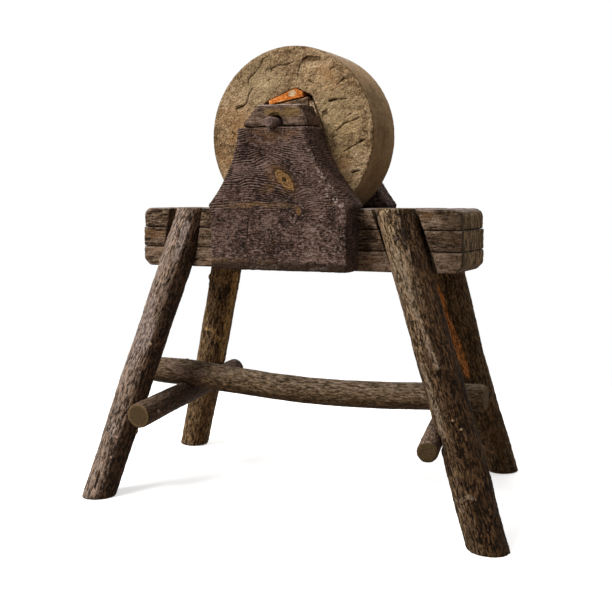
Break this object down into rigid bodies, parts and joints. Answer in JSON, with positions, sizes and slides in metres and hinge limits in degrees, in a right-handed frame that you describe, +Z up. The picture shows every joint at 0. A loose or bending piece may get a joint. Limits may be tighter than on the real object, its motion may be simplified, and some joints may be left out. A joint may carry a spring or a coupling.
{
  "type": "hand cranked grindstone",
  "caption": "Hand cranked sandstone wheel that turns between two wooden cheeks, on a plank beam with splayed log legs, cross bars and a bowed stretcher.",
  "frame": {"origin": "middle of the part's extent in X and Y, on the floor that the feet stand on", "axes": "+X to the right as seen from the pictured side, +Y away from the viewer towards the crank side, +Z up; the axle lies along Y"},
  "size_m": [1.181, 0.7594, 1.1551],
  "materials": {
    "weathered_sawn_wood": "old sawn planks, grey-brown, cracked and matt",
    "weathered_cheek_wood": "old board, purplish grey-brown, matt",
    "round_log": "peeled round wood, weathered and matt",
    "fresh_wood": "newer orange wood, matt",
    "sandstone": "rough ochre sandstone, matt",
    "forged_iron": "forged iron with an even film of rust"
  },
  "bodies": {
    "stand": {"beam_bottom_plank": "weathered_sawn_wood", "beam_middle_plank": "weathered_sawn_wood", "beam_top_plank_left": "weathered_sawn_wood", "beam_top_plank_right": "weathered_sawn_wood", "beam_treenail_1": "weathered_sawn_wood", "beam_treenail_2": "weathered_sawn_wood", "beam_treenail_3": "weathered_sawn_wood", "beam_treenail_4": "weathered_sawn_wood", "cheek_front": "weathered_cheek_wood", "cheek_rear": "weathered_cheek_wood", "cheek_spike_front_left": "forged_iron", "cheek_spike_front_right": "forged_iron", "cheek_spike_rear_left": "forged_iron", "cheek_spike_rear_right": "forged_iron", "bearing_cap_front": "weathered_cheek_wood", "bearing_cap_rear": "weathered_cheek_wood", "cap_dowel_front_left": "weathered_sawn_wood", "cap_dowel_front_right": "weathered_sawn_wood", "cap_dowel_rear_left": "weathered_sawn_wood", "cap_dowel_rear_right": "weathered_sawn_wood", "leg_front_left": "round_log", "leg_front_right": "round_log", "leg_rear_left": "round_log", "leg_rear_right": "round_log", "leg_spike_front_left": "forged_iron", "leg_spike_front_right": "forged_iron", "leg_spike_rear_left": "forged_iron", "leg_spike_rear_right": "forged_iron", "cross_bar_left": "round_log", "cross_bar_right": "round_log", "bar_spike_front_left": "forged_iron", "bar_spike_front_right": "forged_iron", "bar_spike_rear_left": "forged_iron", "bar_spike_rear_right": "forged_iron", "stretcher": "round_log", "stretcher_spike_left": "forged_iron", "stretcher_spike_right": "forged_iron"},
    "wheel": {"axle": "forged_iron", "grinding_stone": "sandstone", "hub_block": "weathered_sawn_wood", "hub_wedge_top": "fresh_wood", "hub_wedge_right": "weathered_sawn_wood", "hub_wedge_bottom": "weathered_sawn_wood", "hub_wedge_left": "weathered_sawn_wood", "crank_arm": "forged_iron", "crank_key": "forged_iron", "crank_spindle": "forged_iron", "grip_washer": "forged_iron"},
    "grip": {"crank_grip": "weathered_sawn_wood"}
  },
  "joints": [
    {"name": "wheel_spin", "type": "hinge", "parent": "stand", "child": "wheel", "pos_m": [-0.04995, -0.00334, 0.9546], "axis": [0, 1, 0], "continuous": true},
    {"name": "grip_spin", "type": "hinge", "parent": "wheel", "child": "grip", "pos_m": [-0.04995, 0.26866, 0.7546], "axis": [0, 1, 0], "continuous": true}
  ]
}
